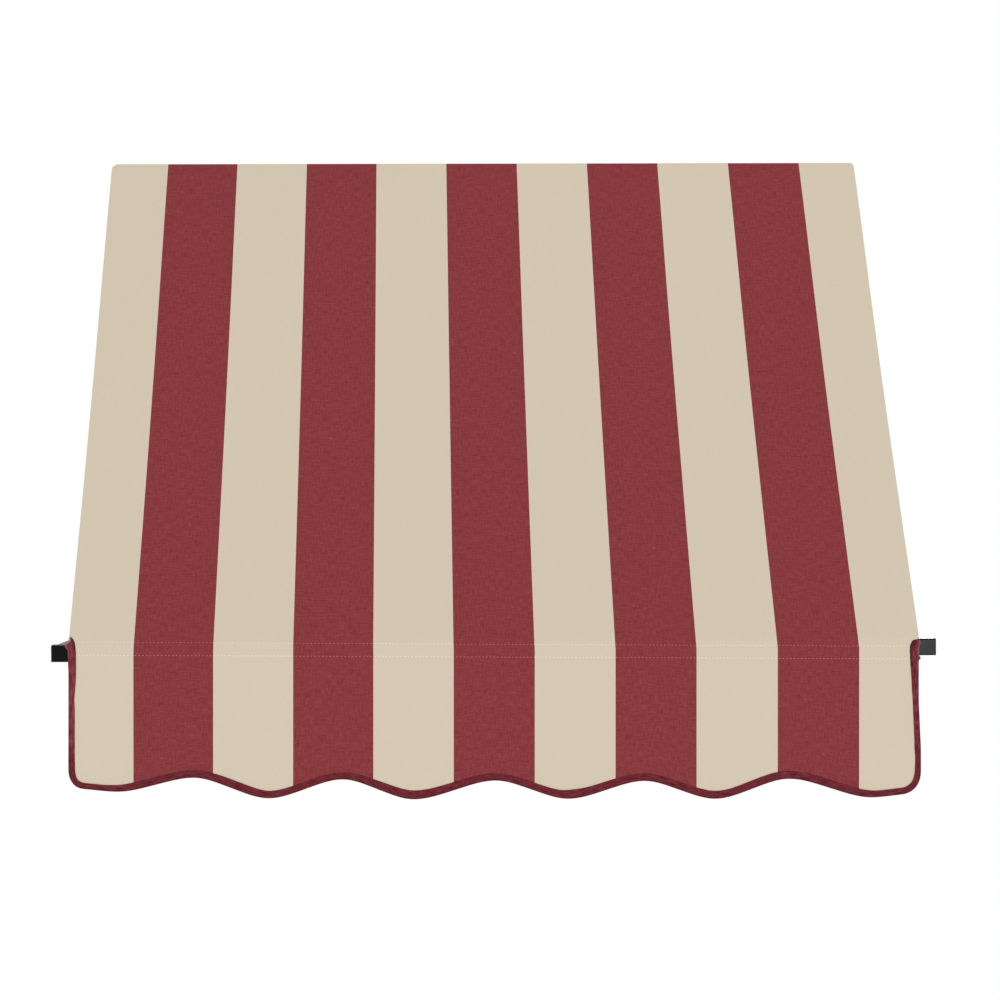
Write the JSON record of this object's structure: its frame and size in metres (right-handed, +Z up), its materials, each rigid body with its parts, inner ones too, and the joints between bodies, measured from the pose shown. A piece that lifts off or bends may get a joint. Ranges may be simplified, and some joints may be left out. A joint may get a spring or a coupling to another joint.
{
  "type": "fabric awning",
  "caption": "Fixed window awning: striped cloth with a scalloped, bound valance, stretched over a wall-mounted frame of square tube with two level side arms.",
  "frame": {"origin": "centre of the back face of the middle head bracket, on the wall plane", "axes": "+X along the bars to the right seen from the front, +Y into the wall, +Z up; the awning projects along -Y"},
  "size_m": [1.34, 0.6133, 1.0377],
  "materials": {
    "striped_cloth": "woven canvas, tan with burgundy block stripes",
    "sleeve_cloth": "woven canvas, plain tan",
    "braid": "burgundy braid tape",
    "black_paint": "satin black",
    "black_plastic": "fine matt",
    "zinc": "zinc plated"
  },
  "bodies": {
    "root": {"arm_bracket_left": "black_paint", "arm_bracket_right": "black_paint", "arm_screw_left": "zinc", "arm_screw_right": "zinc", "bar_screw_left": "zinc", "bar_screw_right": "zinc", "bar_sleeve": "sleeve_cloth", "bolt_left": "zinc", "bolt_right": "zinc", "canopy": "striped_cloth", "corner_angle_left": "black_paint", "corner_angle_right": "black_paint", "front_bar": "black_paint", "front_bar_cap_left": "black_plastic", "front_bar_cap_right": "black_plastic", "head_bar": "black_paint", "head_bar_cap_left": "black_plastic", "head_bar_cap_right": "black_plastic", "head_bracket_1": "black_paint", "head_bracket_2": "black_paint", "head_bracket_3": "black_paint", "head_screw_1": "zinc", "head_screw_2": "zinc", "head_screw_3": "zinc", "nut_left": "zinc", "nut_right": "zinc", "side_arm_left": "black_paint", "side_arm_right": "black_paint", "valance_tape": "braid", "washer_inner_left": "zinc", "washer_inner_right": "zinc", "washer_outer_left": "zinc", "washer_outer_right": "zinc"}
  },
  "joints": []
}
